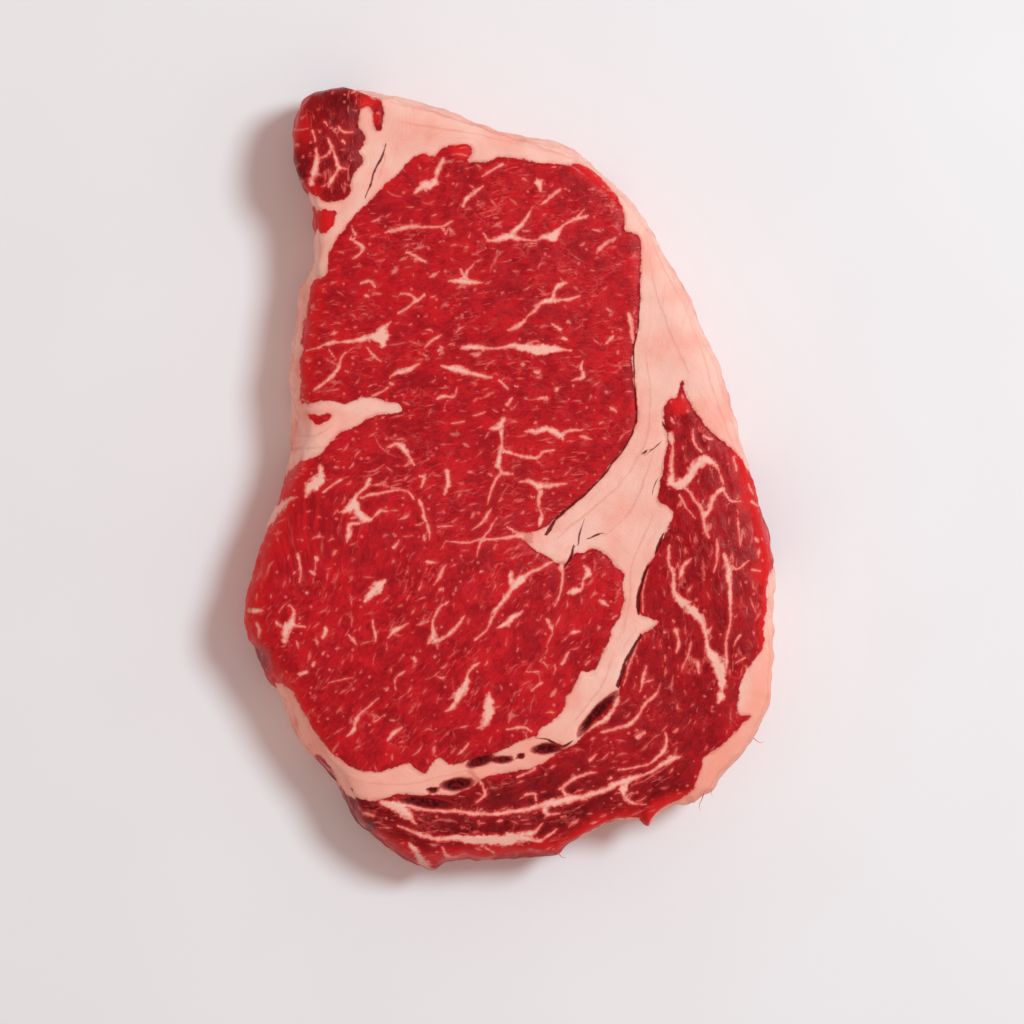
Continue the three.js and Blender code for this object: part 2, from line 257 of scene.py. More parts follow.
    [-26,-77.4,.9, -22,-78.2,.5, -15,-78.6,.48, -7,-79.3,.5, 0,-79,.6, 5,-78,.65, 8,-76.9,.85,
     12.5,-76,1.05, 17,-75.3,.75, 22,-73.8,.75, 26.5,-72,.95, 30,-70.8,.55, 34,-69,.45,
     38,-66.3,.75, 40.2,-65.7,.3], [26.5,-73.4,1.05, 27,-75.3,.65, 29,-77,.4, 32.2,-77,.2],
    [12.6,-74.7,.55, 11.7,-73.1,.3], [7.9,-77.3,.65, 8.5,-79.3,.65, 11.2,-79,.3],
    [-27.2,-82.7,.35, -22,-84,.5, -17,-85.5,.65, -12,-85.8,1.05, -6,-86,1.55, -1,-86,1.55,
     3,-85.1,1, 6.5,-86,.5, 9.5,-84.5,.45, 10.7,-83.3,.3],
    [2.5,-84.3,.7, 5.5,-83.5,.45, 7.1,-81.7,.3], [-16.6,-87.8,.3, -15,-90,.45, -12.4,-91,.3],
    [-24.4,-86.8,.5, -22.8,-88.6,.9, -20.8,-91.2,1.3, -19,-94.6,1.9],
    [-6.6,-87.8,.4, -4.4,-89.7,.3], [3.4,-75.1,.4, 5.5,-74.5,.45, 6,-76.2,.3],
    [1.4,-70.6,.25, 4,-69.3,.35, 5.6,-68.2,.35],
    [-9.6,-69.3,.55, -7.5,-71.5,.45, -6,-74.5,.45, -8.1,-76.2,.4], [18.8,-66.2,.45, 20.4,-64.9,.2],
    [-35.2,-79.4,.5, -32.8,-80.2,.4],
    # end muscle
    [-44.2,82.5,.25, -43,79.8,.45, -41.8,77.4,.5, -41,75.4,.6, -39,74.7,.25],
    [-43,79.6,.4, -44.6,78,.3, -46.4,77.6,.2],
    [-43.6,71,.5, -42.8,72.6,.6, -41.5,74.2,.4, -41,75.4,.4],
    [-47.8,71.4,.7, -47.2,74,.8, -46.4,76.8,.75, -46.8,79.4,.4], [-44.8,86.4,.3, -44,85.3,.35],
    [-41.5,85.4,.2, -40.4,84.1,.4, -38,83.8,.3], [-40.5,81.9,.4, -39.8,81.3,.4],
    [-48,84,.3, -47.4,81.4,.3],
)
# faint seams in the fat, where its layers meet
SEAMS = strokes(
    [-29,91,.1, -20,88.6,.2, -10,85.8,.2, 0,82.5,.2, 10,79.2,.2, 17,76.4,.15],
    [-27,86.2,.1, -19,84.8,.2, -9,83.4,.15, 2,80.8,.1], [-31,81,.1, -30.6,77,.2, -31.8,72.5,.15],
    [24,71.4,.1, 30,63.8,.15, 36,53,.2, 42,40,.2, 46.6,28,.2, 50.6,16,.2, 54,6,.1],
    [33,54,.1, 35,44,.2, 38.4,34,.2, 42.4,26,.15],
    [32.2,30,.1, 33.2,20,.2, 32,10,.2, 27,1,.2, 20.6,-5.4,.25, 14,-10.6,.2, 11,-13.4,.1],
    [34.4,9,.1, 32,1,.2, 29,-6,.2, 25,-11,.15, 20,-13.6,.1],
    [33.6,-8,.1, 31,-14,.2, 28.8,-20,.2, 28.4,-28,.2, 26.6,-36,.15],
    [24.6,-41,.1, 22.6,-47,.2, 19.6,-51.6,.2, 15.4,-57,.15],
    [-43,-69.4,.1, -34,-72,.2, -24,-72.2,.2, -14,-69.8,.2, -4,-67.4,.15],
    [-51.4,10.4,.15, -46.4,11.2,.2, -43,13.4,.1],
)
# gaps, painted dark for the shade in them, and the dark film at the eye's border
GAPS = strokes(
    [36,-12.2,.2, 35,-15,.4, 34.3,-17,.25],
    [33.2,-19.8,.2, 31.4,-23.4,.4, 30.5,-27.5,.45, 30.6,-31.6,.3],
    [31,-36.3,.25, 29.3,-39,.35, 27.5,-42.6,.4, 25.5,-48.6,.4],
    [5.5,-61.2,.05, 9,-61.9,.22, 12.4,-63.4,.32, 14.4,-62,.15],
    [30.6,52,.02, 30.8,46,.08, 30,39,.12, 29.1,31,.16, 29.3,24,.16, 29.7,17,.2, 28.5,11,.16,
     25,6,.16, 20.6,.6,.2, 15.5,-4.4,.26, 11,-8.8,.32, 8.2,-12.4,.38],
    [-30.3,80.6,.1, -31.2,77.6,.18, -33,73.6,.2, -33.8,70.4,.16, -34.9,68,.06],
    [18.2,-13.5,.1, 20.4,-12.5,.2, 22.4,-12,.02], [15.6,-15,.1, 16.2,-12.6,.2, 17.6,-8.6,.02],
    [12.6,-20.4,.2, 14.2,-17,.3, 14.6,-14.8,.05], [31,6.8,.05, 32,7.5,.22, 33,7.7,.05],
    [32.2,6.7,.05, 34.6,8.6,.1, 35.6,9.6,.02], [33.8,-3,.02, 34.4,-.6,.12, 35.4,1.2,.02],
    [37.6,12.6,.1, 36.4,13.4,.25, 36,14.4,.1], [-40,-72.8,.2, -38.4,-74,.3],
)

# hollows where the cap has come away: middle, half length, half width, turn, depth
HOLLOWS = [
    ((-7.4, -66.9), 2.6, 1.1, 18, 2.2), ((-12.7, -72.3), 3.2, 1.2, 8, 2.2),
    ((-18.6, -74), 1.2, .5, 0, 1), ((-20.5, -76.8), 6, .95, -3, 2.4),
    ((20.6, -55.2), 5.6, 1, 48, 2.6), ((8.4, -63.9), 3.2, 1, 4, 2.2),
    ((-2.6, -66.5), 2.4, .7, 4, 1.5), ((2, -65.4), .8, .5, 30, 1.2),
]
# where the side wall stands out from the even outline: place, reach, how far
WALL_BUMPS = [
    ((-43, 95), 7, 1.2), ((-50.4, 92), 3.6, 1.2), ((-55, 84.6), 3.6, 1.3), ((-53.4, 76.6), 3, .7),
    ((-47.6, 61), 4.5, .9), ((-50.2, 46.8), 4, 1.7), ((-54.4, 3), 7, 1.3), ((-58.5, -8.5), 3, .9),
    ((-63.6, -33), 5, .5), ((-58.5, -46), 7, 1.4), ((-47, -67), 6, .8), ((-37, -80.5), 9, 1.9),
    ((-24, -92), 5, 1.2), ((-19.4, -93.4), 2.6, 3.4), ((10.6, -89.4), 2.2, .8),
    ((18.5, -84), 5, 1.3), ((34, -80.4), 3, 1), ((45, -76.4), 3.5, .9), ((48.4, -73.2), 2.4, 1.1),
    ((56.4, -62.5), 7, 2.4), ((61, -51), 4, 1), ((62.5, -41), 3.6, .8), ((30.5, 67), 8, .6),
]
# where the upper rim reaches out over the wall: place, reach, how far
RIM_REACHES = [
    ((32, -81), 1.9, 4.2), ((30, -80), 4, .8), ((12, -88), 12, .7), ((-62, -19), 15, 3.4),
    ((-63, -34), 8, 1.9), ((-57, -4), 7, 1.5),
]
# darker places, place and reach: painted shade on the shaded left and lower-left side wall and under
# the end muscle's fold, and the darker lean of the end muscle's top
DARK_AND_SHADED_PLACES = [
    ((-38, -80), 7), ((-45, -74), 5), ((-53, 74), 4.5), ((-63.5, -45), 5), ((-42, 89), 6.5),
]
# painted highlights of brighter, wet-looking red on the lean: place, reach
HIGHLIGHT_PLACES = [
    ((-26, -88.4), 5), ((33.4, -81), 5), ((57.5, -4), 8), ((60, -22), 6), ((-20, 79), 5),
    ((-12, 79.5), 4), ((-30, 72), 3.5), ((40, 18.5), 4.5), ((-45, 62.5), 5), ((-52, 85), 9),
    ((-34, 91), 4), ((-33, 87), 3), ((18, -15), 3), ((-46, 46), 3),
]


# ---- measuring against the drawing ----
def rounded(through, closed=False, steps=4):
    """A smooth line through a few points, whatever each point carries."""
    p = np.array(through, float)
    if closed:
        before, here, after, later = np.roll(p, 1, 0), p, np.roll(p, -1, 0), np.roll(p, -2, 0)
    else:
        p = np.vstack([2 * p[0] - p[1], p, 2 * p[-1] - p[-2]])
        before, here, after, later = p[:-3], p[1:-2], p[2:-1], p[3:]
    t = np.linspace(0, 1, steps, endpoint=False)[:, None, None]
    curve = 0.5 * (
        2 * here
        + (after - before) * t
        + (2 * before - 5 * here + 4 * after - later) * t**2
        + (3 * here - before - 3 * after + later) * t**3
    )
    line = curve.transpose(1, 0, 2).reshape(-1, p.shape[1])
    return line if closed else np.vstack([line, p[-2:-1]])


def from_segment(x, y, start, end):
    """Share along a straight segment nearest each place, and the way from there to the place."""
    dx, dy = end[0] - start[0], end[1] - start[1]
    share = np.clip(((x - start[0]) * dx + (y - start[1]) * dy) / (dx * dx + dy * dy), 0, 1)
    ox, oy = x - start[0] - share * dx, y - start[1] - share * dy
    away = np.hypot(ox, oy)
    return share, away, np.copysign(away, dx * oy - dy * ox)


def depth_inside(places, outline):
    """How far inside a closed outline each place lies, negative outside."""
    loop = rounded(outline, closed=True)
    x, y = places[:, 0], places[:, 1]
    nearest = np.full(len(places), np.inf)
    odd = np.zeros(len(places), bool)
    for start, end in zip(loop, np.roll(loop, -1, 0)):
        nearest = np.minimum(nearest, from_segment(x, y, start, end)[1])
        slope = (end[0] - start[0]) / (end[1] - start[1] or 1e-9)
        odd ^= ((start[1] > y) != (end[1] > y)) & (x < start[0] + (y - start[1]) * slope)
    return np.where(odd, nearest, -nearest)


def nearest_stroke(places, all_strokes, strengths=None):
    """The signed and the plain distance to each place's nearest stroke, that stroke's half
    width there and its strength."""
    x, y = places[:, 0], places[:, 1]
    side, far, gap = np.full((3, len(places)), FAR)
    half = np.zeros(len(places))
    strength = np.ones(len(places))
    for number, stroke in enumerate(all_strokes):
        line = rounded(stroke, steps=3)
        low, high = line.min(0) - STROKE_REACH, line.max(0) + STROKE_REACH
        around = np.flatnonzero((x > low[0]) & (x < high[0]) & (y > low[1]) & (y < high[1]))
        for start, end in zip(line[:-1], line[1:]):
            share, away, signed = from_segment(x[around], y[around], start, end)
            width = start[2] + (end[2] - start[2]) * share
            closer = np.flatnonzero(away - width < gap[around])
            spot = around[closer]
            gap[spot] = (away - width)[closer]
            far[spot] = away[closer]
            side[spot] = signed[closer]
            half[spot] = width[closer]
            if strengths:
                strength[spot] = strengths[number]
    return side, far, half, strength


def along_cap(places):
    """How far along the cap's middle line each place is, and its signed distance from it."""
    line = rounded(CAP_SPINE, steps=6)
    best = np.full(len(places), np.inf)
    along, across = np.zeros((2, len(places)))
    travelled = 0.0
    for start, end in zip(line[:-1], line[1:]):
        length = math.dist(start, end)
        share, away, signed = from_segment(places[:, 0], places[:, 1], start, end)
        closer = away < best
        best[closer] = away[closer]
        along[closer] = (travelled + share * length)[closer]
        across[closer] = signed[closer]
        travelled += length
    return along, across


def soft_step(value, low, high):
    share = np.clip((value - low) / (high - low), 0, 1)
    return share * share * (3 - 2 * share)


def fading(value, size):
    """1 where the value is nought, less and less over the size."""
    return np.exp(-((value / size) ** 2))


def away_from(plan, place):
    return np.hypot(plan[:, 0] - place[0], plan[:, 1] - place[1])


def lumps(places, size, seed):
    """Smooth unevenness from about -1 to 1, with lumps about size mm apart."""
    shift = Vector((17.3, 5.1, 9.7)) * seed
    return np.array([noise.noise(Vector(place) / size + shift) for place in places.tolist()])


def eye_grain(y):
    """The eye's grain: nearly level in the upper lobe, steep in the lower one.  Radians."""
    return np.radians(8 + 44 * (1 - soft_step(y, -28, 8)))


# ---- finer strokes, scattered along the grain and clear of the drawn ones ----
def cap_grain(x, y):
    line = rounded(CAP_SPINE, steps=6)
    nearest = int(np.argmin(np.hypot(*(line - (x, y)).T)))
    ahead, behind = line[min(nearest + 1, len(line) - 1)], line[max(nearest - 1, 0)]
    return math.atan2(*(ahead - behind)[::-1])


def scattered_places(rng, count, spacing, clear_of):
    """Places in the lean, clear of other strokes, each with the direction of the grain there."""
    marks = [point[:2] for stroke in clear_of for point in rounded(stroke, steps=2).tolist()]
    tree = kdtree.KDTree(len(marks) + count)
    for index, (x, y) in enumerate(marks):
        tree.insert((x, y, 0), index)
    tree.balance()
    tries = np.array([(rng.uniform(-66, 66), rng.uniform(-93, 96)) for _ in range(count * 5)])
    in_lean = np.max([depth_inside(tries, outline) for outline in MUSCLES], axis=0) > 0.7
    in_cap = depth_inside(tries, CAP) > 0
    placed = []
    for (x, y), lean, cap in zip(tries.tolist(), in_lean, in_cap):
        if not lean or (marks and tree.find((x, y, 0))[2] < spacing * 0.45):
            continue
        if any(math.hypot(x - a, y - b) < spacing for a, b, _ in placed):
            continue
        turn = cap_grain(x, y) + rng.gauss(0, 0.3) if cap else float(eye_grain(y)) + rng.gauss(0, 0.5)
        placed.append((x, y, turn))
        if len(placed) == count:
            break
    return placed


def scattered_strokes(seed, count, spacing, clear_of):
    """Short, thin, slightly bent strokes; some fork."""
    rng = random.Random(seed)
    scattered = []
    for x, y, turn in scattered_places(rng, count, spacing, clear_of):
        length = rng.lognormvariate(0.3, 0.55)
        half = min(0.1 + 0.15 * rng.lognormvariate(0, 0.5), 0.5)
        bend = rng.gauss(0, 0.14)
        stroke = []
        for share, width in [(-0.5, 0.4), (-0.15, 1.1), (0.2, 0.9), (0.5, 0.35)]:
            angle, run = turn + bend * share * 2, share * length
            stroke.append((x + run * math.cos(angle), y + run * math.sin(angle), half * width))
        scattered.append(stroke)
        if rng.random() < 0.3:
            fork = turn + rng.choice((-1, 1)) * rng.uniform(0.6, 1.3)
            run = length * rng.uniform(0.3, 0.6)
            tip = (x + run * math.cos(fork), y + run * math.sin(fork), half * 0.4)
            scattered.append([(x, y, half * 0.9), tip])
    return scattered


def enlarged(stroke, times_longer, times_wider):
    middle = stroke[len(stroke) // 2]
    return [(middle[0] + times_longer * (x - middle[0]), middle[1] + times_longer * (y - middle[1]),
             half * times_wider) for x, y, half in stroke]


# ---- body of the steak ----
def vertex_vectors(mesh, kind):
    """Every vertex's place, "co", or outward direction, "normal"."""
    values = np.empty(len(mesh.vertices) * 3, np.float32)
    mesh.vertices.foreach_get(kind, values)
    return values.reshape(-1, 3).astype(float)


def set_places(mesh, co):
    mesh.vertices.foreach_set("co", co.astype(np.float32).ravel())
    mesh.update()


def edit_all():
    bpy.ops.object.mode_set(mode="EDIT")
    bpy.ops.mesh.select_all(action="SELECT")


def even_body():
    """The CAD steak's shape as one even mesh, finer on the upper face and the side wall."""
    body = bpy.data.objects.new("steak_body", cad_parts["steak"].data.copy())
    body.data.materials.clear()
    bpy.context.scene.collection.objects.link(body)
    bpy.ops.object.select_all(action="DESELECT")
    body.select_set(True)
    bpy.context.view_layer.objects.active = body
    edit_all()
    bpy.ops.mesh.remove_doubles(threshold=0.00001)
    bpy.ops.mesh.normals_make_consistent(inside=False)
    bpy.ops.object.mode_set(mode="OBJECT")
    remesh = body.modifiers.new("even_mesh", "REMESH")
    remesh.mode = "VOXEL"
    remesh.voxel_size = VOXEL * MM
    bpy.ops.object.modifier_apply(modifier=remesh.name)
    edit_all()
    bpy.ops.mesh.vertices_smooth(factor=0.5, repeat=SMOOTHING_ROUNDS)
    bpy.ops.mesh.select_all(action="DESELECT")
    bpy.ops.mesh.select_mode(type="FACE")
    bpy.ops.object.mode_set(mode="OBJECT")
    for face in body.data.polygons:  # all but the lower face
        face.select = face.normal.z > -0.6 and face.center.z > 0.4 * MM
    bpy.ops.object.mode_set(mode="EDIT")
    bpy.ops.mesh.subdivide(number_cuts=1, smoothness=0)
    bpy.ops.mesh.select_all(action="SELECT")
    bpy.ops.mesh.vertices_smooth(factor=0.5, repeat=2)
    bpy.ops.object.mode_set(mode="OBJECT")
    bpy.ops.object.shade_smooth()
    return body


def distance_from_wall(plan, normal, z):
    """How far in from the side wall each place lies, in plan."""
    wall = plan[(np.abs(normal[:, 2]) < 0.5) & (z > 12)][::4]
    tree = kdtree.KDTree(len(wall))
    for index, (x, y) in enumerate(wall.tolist()):
        tree.insert((x, y, 0), index)
    tree.balance()
    return np.array([min(tree.find((x, y, 0))[2], RIM_BAND) for x, y in plan.tolist()])


def shape_wall(mesh):
    """Bumps and overhangs of the side wall and the upper rim."""
    co = vertex_vectors(mesh, "co") / MM
    plan = co[:, :2] + DRAWN_CENTRE
    outward = plan - HUB
    outward /= np.linalg.norm(outward, axis=1)[:, None] + 1e-9
    shift = np.zeros(len(co))
    for bumps, low, high in ((WALL_BUMPS, 1, 12), (RIM_REACHES, 6, 20)):
        for place, reach, amount in bumps:
            shift += amount * fading(away_from(plan, place), reach) * soft_step(co[:, 2], low, high)
    shift *= 1 - soft_step(distance_from_wall(plan, vertex_vectors(mesh, "normal"), co[:, 2]), 0, 7)
    co[:, :2] += outward * shift[:, None]
    set_places(mesh, co * MM)


class Survey:
    """What each vertex of the body knows about the meat there; lengths are in mm."""

    def __init__(self, mesh):
        self.co = vertex_vectors(mesh, "co") / MM
        self.normal = vertex_vectors(mesh, "normal")
        self.z = self.co[:, 2]
        self.top = soft_step(self.normal[:, 2], 0.35, 0.75)
        self.bottom = soft_step(-self.normal[:, 2], 0.35, 0.75)
        self.wall = 1 - self.top - self.bottom
        plan = self.co[:, :2] + DRAWN_CENTRE
        self.rim = distance_from_wall(plan, self.normal, self.z) * (1 - self.wall)
        self.around = np.arctan2(*(plan - HUB).T[::-1]) * MEAN_RADIUS
        # the muscles wander on their way down through the slice
        sway = np.stack([lumps(self.co, 9, 1), lumps(self.co, 9, 2)], 1)
        ripple = np.stack([lumps(self.co, 2.6, 3), lumps(self.co, 2.6, 4)], 1)
        below = (1 - self.z / self.z.max())[:, None]
        self.plan = plan + (0.35 + 3.2 * below) * sway + 0.28 * ripple + below * (1.4, -1.0)
        self.find_hollows()
        self.find_lean()
        self.find_tones()
        self.find_strokes()
        self.find_grain()

    def find_hollows(self):
        """How hollow and how sunk each place is, and how deep in torn lean."""
        self.hollow, self.sunk = np.zeros((2, len(self.z)))
        self.torn = np.full(len(self.z), -FAR)
        for middle, length, width, turn, depth in HOLLOWS:
            angle = math.radians(turn)
            dx, dy = (self.plan - middle).T
            along = (dx * math.cos(angle) + dy * math.sin(angle)) / length
            across = (dy * math.cos(angle) - dx * math.sin(angle)) / width
            share = np.clip(1.6 - np.hypot(along, across), -3, 1) * soft_step(self.z, 16, 20)
            self.torn = np.maximum(self.torn, share - 0.8)
            self.hollow = np.maximum(self.hollow, share)
            self.sunk = np.maximum(self.sunk, share * depth)

    def find_lean(self):
        """How deep in lean each place lies, negative in fat."""
        self.eye, self.cap, self.end = [depth_inside(self.plan, outline) for outline in MUSCLES]
        patches = [depth_inside(self.plan, outline) for outline in (RED_PATCH, ISLET)]
        self.muscle = np.max([self.eye, self.cap, self.end], axis=0)
        film = WALL_COVER + 2.6 * lumps(self.co * (1, 1, 0.55), 8, 5)
        lean = np.max([self.muscle, *patches], axis=0)
        lean -= self.wall * soft_step(lean, -3, 4) * film
        self.lean = np.maximum(lean, self.torn)

    def find_tones(self):
        """Where the lean is darker, as the cap, its tail and the end muscle are, and with painted
        shade at the dark places; where a highlight is painted on it; where the fat is peachy; and how
        much film the wall has.
        """
        x, y = self.plan.T
        tail = soft_step(-y, 62, 78)
        dark_lean_and_shade = soft_step(self.cap, -1, 2) * (0.42 + 0.64 * tail) + soft_step(self.end, -1, 1) * 0.74
        # painted highlight: the nearer the rim and the highlight places, the brighter the red painted
        # on the lean
        self.bright = self.rim.copy()
        # the dark places paint shade, and keep the painted highlight away from it
        for place, reach in DARK_AND_SHADED_PLACES:
            share = fading(away_from(self.plan, place), reach)
            dark_lean_and_shade = np.maximum(dark_lean_and_shade, 1.3 * share)
            self.bright += 9 * share
        self.dark_lean_and_shade = np.clip(dark_lean_and_shade, 0, 1)
        for place, reach in HIGHLIGHT_PLACES:
            self.bright = np.minimum(self.bright, 5.5 * away_from(self.plan, place) / reach)
        corner = soft_step(x - y, 88, 108) * (1 - soft_step(self.rim, 3, 7))
        self.peach = np.maximum(corner * 0.7, soft_step(-y, 48, 66) * 0.45)
        # less film, and less painted shade on the bare lean, on the left part of the wall and near
        # its top
        bare = soft_step(-x, 30, 45) * soft_step(-y, -6, 4) * (1 - soft_step(-y, 46, 54))
        self.film = self.wall * (1 - 0.8 * bare) * (1 - 0.8 * soft_step(self.z, 15, 21))

    def find_strokes(self):
        chance = random.Random(21)
        fine = scattered_strokes(seed=11, count=760, spacing=2.7, clear_of=MARBLING)
        strengths = [0.97] * len(MARBLING) + [chance.uniform(0.3, 0.9) for _ in fine]
        strengths += [0.42] * len(SEAMS)
        above = nearest_stroke(self.plan, MARBLING + fine + SEAMS, strengths)
        # the lower face wasn't drawn, so its larger streaks are scattered too
        fine = scattered_strokes(seed=12, count=640, spacing=3.3, clear_of=[])
        strengths = [chance.uniform(0.3, 0.9) for _ in fine]
        large = scattered_strokes(seed=13, count=95, spacing=8, clear_of=[])
        large = [enlarged(stroke, times_longer=3.2, times_wider=2.4) for stroke in large]
        below = nearest_stroke(self.plan, fine + large, strengths + [0.97] * len(large))
        lower = self.z < self.z.max() * 0.5
        *self.streak, self.strength = [np.where(lower, b, a) for a, b in zip(above, below)]
        side, far, half, _ = nearest_stroke(self.plan, GAPS)
        self.gap = [np.where(self.top > 0.5, side, FAR), np.where(self.top > 0.5, far, FAR), half]

    def find_grain(self):
        """Which way the grain runs: along it and across it, far apart from area to area."""
        x, y = (self.plan + (18, 8)).T
        angle = eye_grain(self.plan[:, 1])
        cap_along, cap_across = along_cap(self.plan)
        areas = (
            (True, x * np.cos(angle) + y * np.sin(angle), y * np.cos(angle) - x * np.sin(angle)),
            (self.cap > -1, cap_along, cap_across + 150),
            (self.end > -1, y, x + 300),
            (self.muscle < 0, self.around, self.muscle * 1.3 + 450),
            (self.wall > 0.5, self.z * 0.8, self.around + 600),
        )
        self.along, self.across = np.zeros((2, len(x)))
        for where, along, across in areas:
            self.along = np.where(where, along, self.along)
            self.across = np.where(where, across, self.across)


def relief(mesh, s):
    """Moves the surface the last little way: muscles swell, seams sink, gaps open, fat is lumpy."""
    in_lean = soft_step(s.lean, 0, 2.4)
    upper = s.top * soft_step(s.rim, 0, 3)
    rise = MUSCLE_SWELL * in_lean - BORDER_SINK * fading(s.lean, 0.7)
    rise += (1 - in_lean) * (0.22 * lumps(s.co, 5, 6) + 0.1 * lumps(s.co, 2, 7))
    rise += in_lean * (0.12 * lumps(s.co, 4, 8) + 0.06 * lumps(s.co, 1.6, 9))
    bundles = lumps(np.stack([s.along / 5, s.across / 1.3, s.z * 0], 1), 1, 10)
    rise += CAP_BUNDLES * soft_step(s.cap, 0, 2) * bundles
    _, far, half = s.streak
    rise += STROKE_RISE * in_lean * soft_step(half - far, -0.3, 0.4)
    strands = lumps(s.co * (1.3, 1.3, 0), 1.1, 15)
    rise -= s.sunk * (0.55 + 0.5 * strands)
    _, far, half = s.gap
    rise = rise * upper - GAP_DEPTH * soft_step(half - far, -0.6, 0.1) * soft_step(half, 0.25, 0.45)

    broad, narrow = WALL_BULGES
    bulge = broad * lumps(s.co * (1, 1, 0.6), 8, 12) + narrow * lumps(s.co * (1, 1, 0.7), 3.2, 13)
    wall_lean = soft_step(s.lean, -1, 1)
    strings = lumps(np.stack([s.around / 1.4, s.z / 8, s.z * 0], 1), 1, 14)
    bulge += WALL_STRINGS * strings * wall_lean
    folds = 0.4 - np.abs(lumps(s.co * (1, 1, 0.8), 4.5, 16)) * 2
    bulge += WALL_FOLDS * folds * (1 - wall_lean)
    bulge -= WALL_BORDER_SINK * fading(s.lean, 0.8)
    bulge *= np.maximum(s.wall, 0.8 * (1 - soft_step(s.rim, 0, 2.5)) * (1 - s.bottom))
    bulge *= soft_step(s.z, 0.3, 2.5)  # nothing bulges at the table

    moved = s.co + s.normal * bulge[:, None]
    moved[:, 2] = np.maximum(moved[:, 2] + rise, 0)
    moved[s.bottom > 0.9, 2] = 0
    set_places(mesh, moved * MM)


def remember(mesh, name, *columns):
    """Keeps numbers on the vertices for the finish: one number, or three as a vector."""
    kind, key = ("FLOAT", "value") if len(columns) == 1 else ("FLOAT_VECTOR", "vector")
    layer = mesh.attributes.new(name, kind, "POINT")
    layer.data.foreach_set(key, np.stack(columns, 1).astype(np.float32).ravel())


# ---- stray fibres: points along each, x, y and height, and its half thickness ----
FIBRES = {
    "fibre_long": ([(46, -73.5, 20), (45.8, -75.4, 19.6), (45, -77.4, 19), (45.2, -79, 18)], 0.15),
    "fibre_short": ([(48, -72.6, 20), (47.8, -74.2, 19.4), (48.2, -75.6, 18.6)], 0.12),
    "fibre_corner": ([(58, -61.4, 19), (59.4, -62.4, 19), (60.8, -62.2, 18.4)], 0.12),
    "fibre_tail": ([(10.4, -88.2, 18.5), (12, -90, 18), (13.2, -90.2, 17)], 0.14),
}


def fibre(name, route, half_thickness):
    """One stray thread of meat: a thin tapering tube along its route as drawn."""
    line = rounded(route, steps=5) - (*DRAWN_CENTRE, 0)
    last = len(line) - 1
    bpy.ops.object.select_all(action="DESELECT")
    bpy.ops.mesh.primitive_cylinder_add(vertices=6, radius=1, depth=1, end_fill_type="NGON")
    tube = bpy.context.active_object
    tube.name = name
    edit_all()
    for level in range(1, last):
        bpy.ops.mesh.select_all(action="SELECT")
        bpy.ops.mesh.bisect(plane_co=(0, 0, level / last - 0.5), plane_no=(0, 0, 1))
    bpy.ops.object.mode_set(mode="OBJECT")
    co = vertex_vectors(tube.data, "co")
    run = np.clip((co[:, 2] + 0.5) * last, 0, last)
    middle = np.stack([np.interp(run, np.arange(last + 1), column) for column in line.T], 1)
    turn = np.array(Vector(line[-1] - line[0]).to_track_quat("Z", "Y").to_matrix())
    around = co * (1, 1, 0) * (half_thickness * (1.15 - run / last))[:, None]
    set_places(tube.data, (middle + around @ turn.T) * MM)
    bpy.ops.object.shade_smooth()
    return tube


# ---- finish ----
def shade(red, green, blue):
    """A colour given as it looks on a screen, 0 to 255, made linear."""
    linear = []
    for part in (red, green, blue):
        part /= 255
        linear.append(part / 12.92 if part <= 0.04045 else ((part + 0.055) / 1.055) ** 2.4)
    return (*linear, 1)


LEAN = shade(155, 15, 26), shade(210, 27, 37)  # darkest and brightest bundles
# the darker muscles' own lean, and painted shade at the dark places
DEEP_LEAN_AND_SHADE = shade(100, 8, 15), shade(150, 18, 25)
# painted highlight of brighter red near the rim and at the highlight places
RIM_HIGHLIGHT_RED = shade(232, 29, 31)
FAT = shade(253, 198, 182), shade(250, 175, 158)
SEPTUM = shade(240, 156, 140)
PEACHY_FAT = shade(248, 160, 138)
STAINED_FAT = shade(236, 124, 112)
CREASE = shade(226, 120, 106)
SMEAR = shade(228, 116, 104)
SEAM = shade(226, 132, 118)
MARBLE = shade(216, 66, 64), shade(240, 138, 126), shade(251, 192, 176)  # edge to middle
BESIDE_MARBLE = shade(216, 52, 54)
WISP = shade(232, 104, 98)
FILM = shade(228, 142, 130)
# painted shade: the darker red of the bare lean on the side wall
BARE_WALL_SHADE = shade(122, 10, 18)
# painted shade in the gaps, and the dark film along the eye's border
GAP_SHADE_AND_FILM = shade(108, 0, 8)
# painted shade inside the hollows, and darker red round their edges
PIT_SHADE = shade(52, 5, 9), shade(128, 18, 22)
PIT_EDGE_SHADE = shade(170, 34, 38)
FIBRE = shade(206, 92, 74)
TABLE = shade(238, 236, 238), shade(243, 243, 245)


